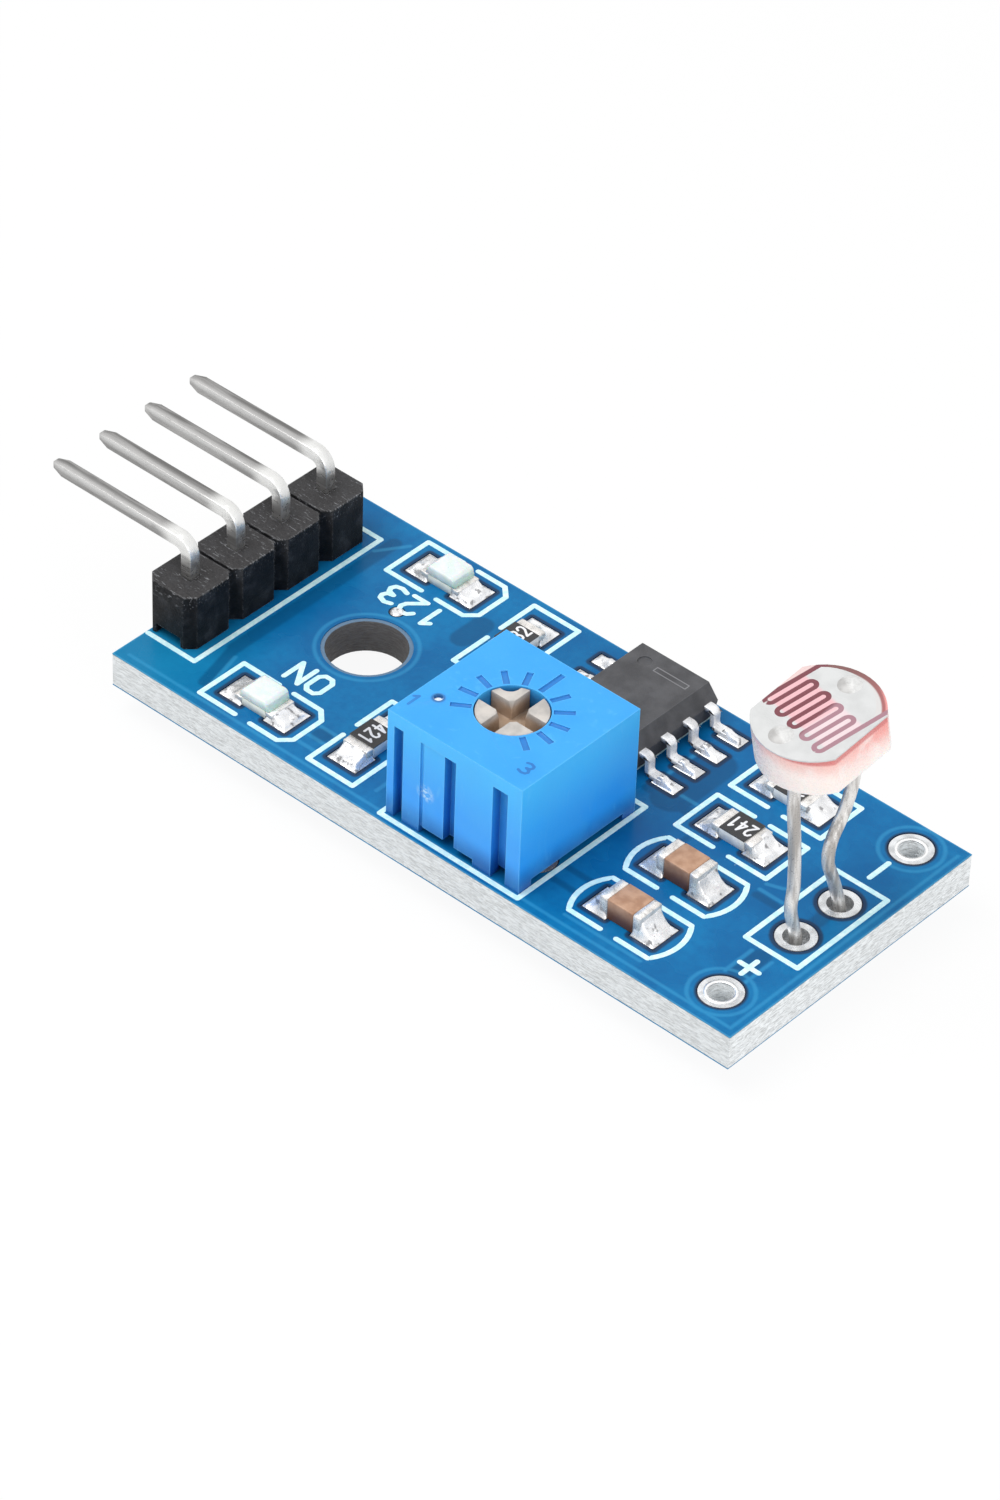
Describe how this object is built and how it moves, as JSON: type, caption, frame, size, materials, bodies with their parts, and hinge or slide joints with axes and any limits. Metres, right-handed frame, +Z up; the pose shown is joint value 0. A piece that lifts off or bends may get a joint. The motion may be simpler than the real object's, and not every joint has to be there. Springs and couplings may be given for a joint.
{
  "type": "light sensor module",
  "caption": "Small blue circuit board with a photoresistor on bent wire legs, a square screwdriver trimmer, a comparator chip, chip parts, indicator lights and right-angle header pins.",
  "frame": {"origin": "centre of the mounting hole at the lower face of the board's laminate", "axes": "+X along the board towards the photoresistor, +Y across it towards the long edge nearer the chip, +Z up out of the component side"},
  "size_m": [0.0379, 0.014, 0.0127],
  "materials": {
    "laminate": "matte",
    "lacquer": "gloss",
    "tinned_copper": "satin",
    "print": "matte",
    "header_plastic": "satin",
    "pin_metal": "polished",
    "solder": "polished",
    "light_base": "matte",
    "light_lens": "clear",
    "light_terminal": "satin",
    "light_die": "matte",
    "white_ceramic": "matte",
    "black_coat": "satin",
    "terminal_metal": "satin",
    "tan_ceramic": "matte",
    "package_plastic": "matte",
    "trimmer_blue": "satin",
    "rotor_cream": "satin",
    "wiper_metal": "satin",
    "resistance_ink": "matte",
    "seal_resin": "matte",
    "sensor_ceramic": "gloss",
    "sensor_film": "gloss",
    "electrode_metal": "gloss",
    "wire_metal": "satin"
  },
  "bodies": {
    "module": {"circuit_board": "laminate", "solder_mask_top": "lacquer", "solder_mask_bottom": "lacquer", "copper_pads": "tinned_copper", "legend_print": "print", "header_block": "header_plastic", "header_pin_1": "pin_metal", "header_pin_2": "pin_metal", "header_pin_3": "pin_metal", "header_pin_4": "pin_metal", "header_solder": "solder", "power_led_base": "light_base", "power_led_lens": "light_lens", "power_led_terminals": "light_terminal", "output_led_base": "light_base", "output_led_lens": "light_lens", "output_led_terminals": "light_terminal", "light_dies": "light_die", "resistor_bodies": "white_ceramic", "resistor_coats": "black_coat", "resistor_terminals": "terminal_metal", "capacitor_bodies": "tan_ceramic", "capacitor_terminals": "terminal_metal", "surface_solder": "solder", "chip_body": "package_plastic", "chip_leads": "pin_metal", "trimmer_housing": "trimmer_blue", "trimmer_element": "white_ceramic", "trimmer_track": "resistance_ink", "trimmer_seal": "seal_resin", "trimmer_pins": "pin_metal", "trimmer_solder": "solder", "sensor_disc": "sensor_ceramic", "sensor_track": "sensor_film", "sensor_electrode_left": "electrode_metal", "sensor_electrode_right": "electrode_metal", "sensor_contacts": "solder", "sensor_lead_1": "wire_metal", "sensor_lead_2": "wire_metal", "sensor_solder": "solder", "via_solder": "solder"},
    "rotor": {"trimmer_rotor": "rotor_cream", "trimmer_wiper": "wiper_metal"}
  },
  "joints": [
    {"name": "rotor_turn", "type": "hinge", "parent": "module", "child": "rotor", "pos_m": [0.01057, -0.0035, 0.00655], "axis": [0, 0, 1], "range_deg": [-105, 105]}
  ]
}
